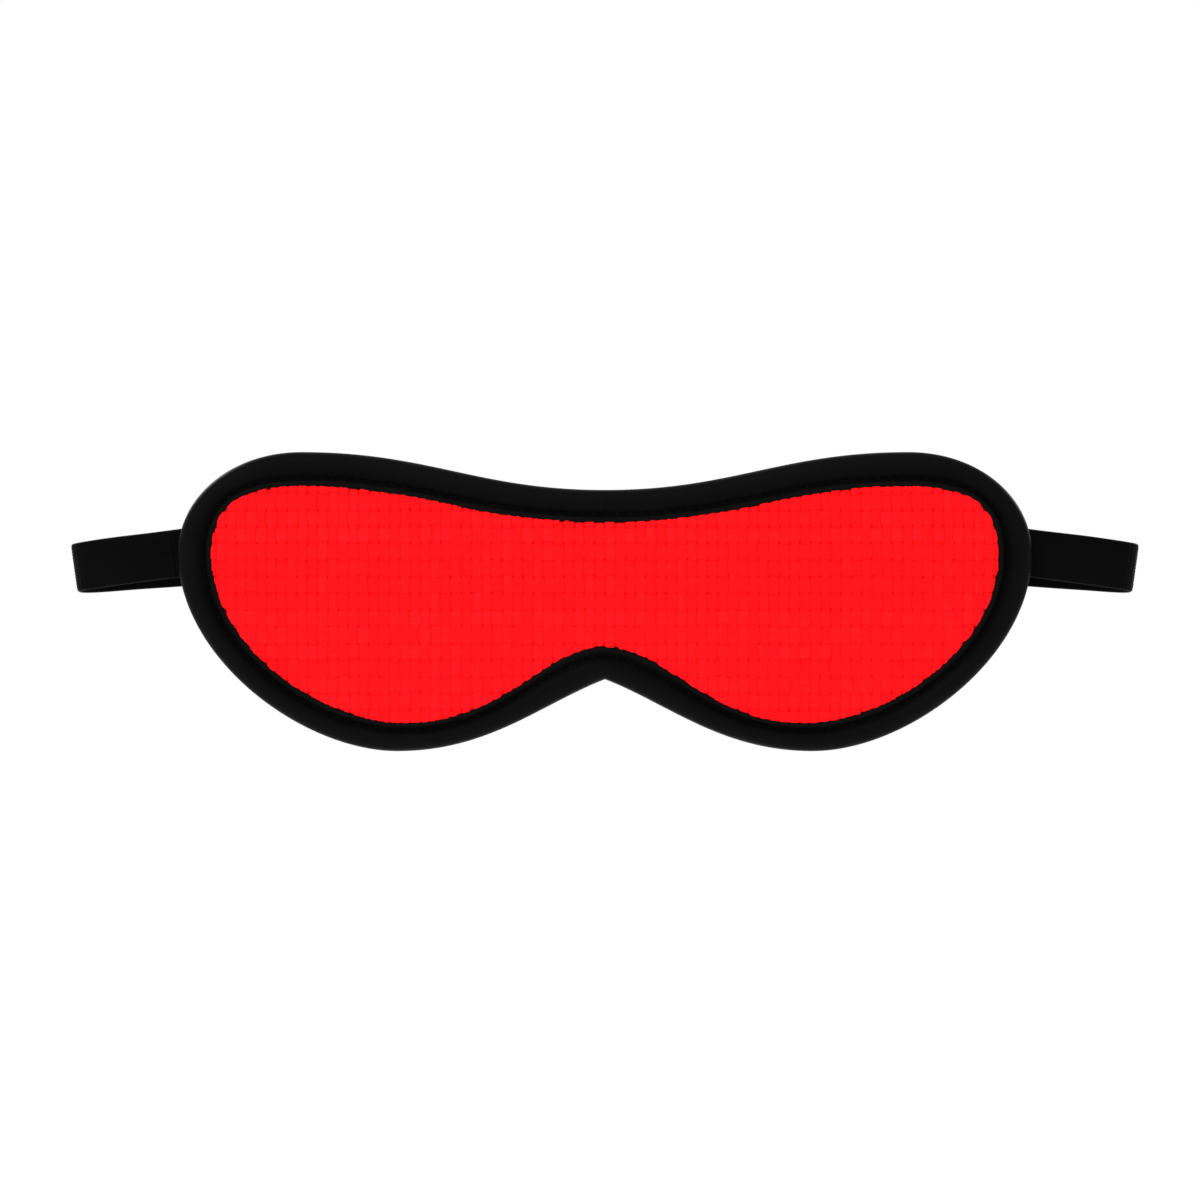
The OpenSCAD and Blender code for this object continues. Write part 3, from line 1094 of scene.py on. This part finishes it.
# ---------------------------------------------------------------------------------------------
# Studio: pale floor, soft light, camera straight in front
# ---------------------------------------------------------------------------------------------
VIEW_WIDTH = 300 * MM
VIEW_SHIFT_X = -1.25 * MM
VIEW_SHIFT_Z = 0.4 * MM
LENS = 100
SENSOR = 36
FLOOR_DROP = 170 * MM
FLOOR_RADIUS = 3.0
FLOOR_SIDES = 64


def camera():
    low, high = cad_bounds
    data = bpy.data.cameras.new("camera")
    data.lens = LENS
    data.sensor_width = SENSOR
    data.clip_start = 0.01
    data.clip_end = 50
    thing = bpy.data.objects.new("camera", data)
    bpy.context.scene.collection.objects.link(thing)
    distance = VIEW_WIDTH * LENS / SENSOR
    middle_x = (low[0] + high[0]) / 2 + VIEW_SHIFT_X
    middle_z = (low[2] + high[2]) / 2 + VIEW_SHIFT_Z
    thing.location = (middle_x, FACE_Y - distance, middle_z)
    thing.rotation_euler = (math.pi / 2, 0, 0)
    bpy.context.scene.camera = thing


def floor():
    turn = 2 * math.pi * np.arange(FLOOR_SIDES) / FLOOR_SIDES
    height = np.full(FLOOR_SIDES, cad_bounds[0][2] - FLOOR_DROP)
    points = np.stack([FLOOR_RADIUS * np.cos(turn), FLOOR_RADIUS * np.sin(turn), height], axis=1)
    thing = add_mesh("floor", points, [tuple(range(FLOOR_SIDES))], smooth_faces=False)
    material, _, shader = new_material("pale_floor", (0.92, 0.92, 0.92), 0.9, 0.0)
    shader.inputs["Emission Color"].default_value = (1, 1, 1, 1)
    shader.inputs["Emission Strength"].default_value = 0.2
    paint(thing, material)


def area_light(name, place, size, power):
    """A square lamp that looks at the mask's middle."""
    data = bpy.data.lights.new(name, "AREA")
    data.shape = "SQUARE"
    data.size = size
    data.energy = power
    thing = bpy.data.objects.new(name, data)
    bpy.context.scene.collection.objects.link(thing)
    thing.location = place
    thing.rotation_euler = (-Vector(place)).to_track_quat("-Z", "Y").to_euler()


def lights():
    world = bpy.data.worlds.new("studio")
    world.use_nodes = True
    back = world.node_tree.nodes["Background"]
    back.inputs["Color"].default_value = (1, 1, 1, 1)
    back.inputs["Strength"].default_value = 1.0
    bpy.context.scene.world = world
    area_light("key", (-0.5, -1.2, 0.9), 0.7, 8)
    area_light("back_left", (-0.9, 1.0, 0.8), 0.5, 14)
    area_light("back_right", (0.9, 0.9, 0.5), 0.4, 8)


def studio():
    view = bpy.context.scene.view_settings
    view.view_transform = "Standard"
    view.look = "None"
    view.exposure = 0
    view.gamma = 1
    camera()
    floor()
    lights()


# ---------------------------------------------------------------------------------------------
# The mask
# ---------------------------------------------------------------------------------------------
def front_cloth(rng):
    backing = cloth_over("front_backing", FACE_Y + BACKING_DEPTH - FRONT_GRID, BACKING_THICK, -1)
    warp = yarns("front_warp", True, rng)
    weft = yarns("front_weft", False, rng)
    for piece in (backing, warp, weft):
        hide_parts("front_panel")
        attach(piece, "mask")
    red = red_yarn_material()
    paint(backing, red_backing_material())
    paint(warp, red)
    paint(weft, red)


def back_cloth():
    lining = cloth_over("back_lining", BACK_Y + BACK_GRID, LINING_THICK, 1)
    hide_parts("back_panel")
    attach(lining, "mask")
    paint(lining, lining_material())


def mask():
    rng = np.random.default_rng(SEED)
    paint(foam(), foam_material())
    front_cloth(rng)
    back_cloth()
    paint(binding(rng), leatherette_material())
    thread = thread_material()
    paint(seam_stitches("seam_needle_thread", "binding_thread_front", -1, rng), thread)
    paint(seam_stitches("seam_bobbin_thread", "binding_thread_back", 1, rng), thread)
    paint(tack_stitches("tack_thread_left", "left_strap_tack", -1), thread)
    paint(tack_stitches("tack_thread_right", "right_strap_tack", 1), thread)
    band = strap(rng)
    paint(band, elastic_material())
    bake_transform(band)
    paint(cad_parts["blackout_layer"], blackout_material())


studio()
mask()
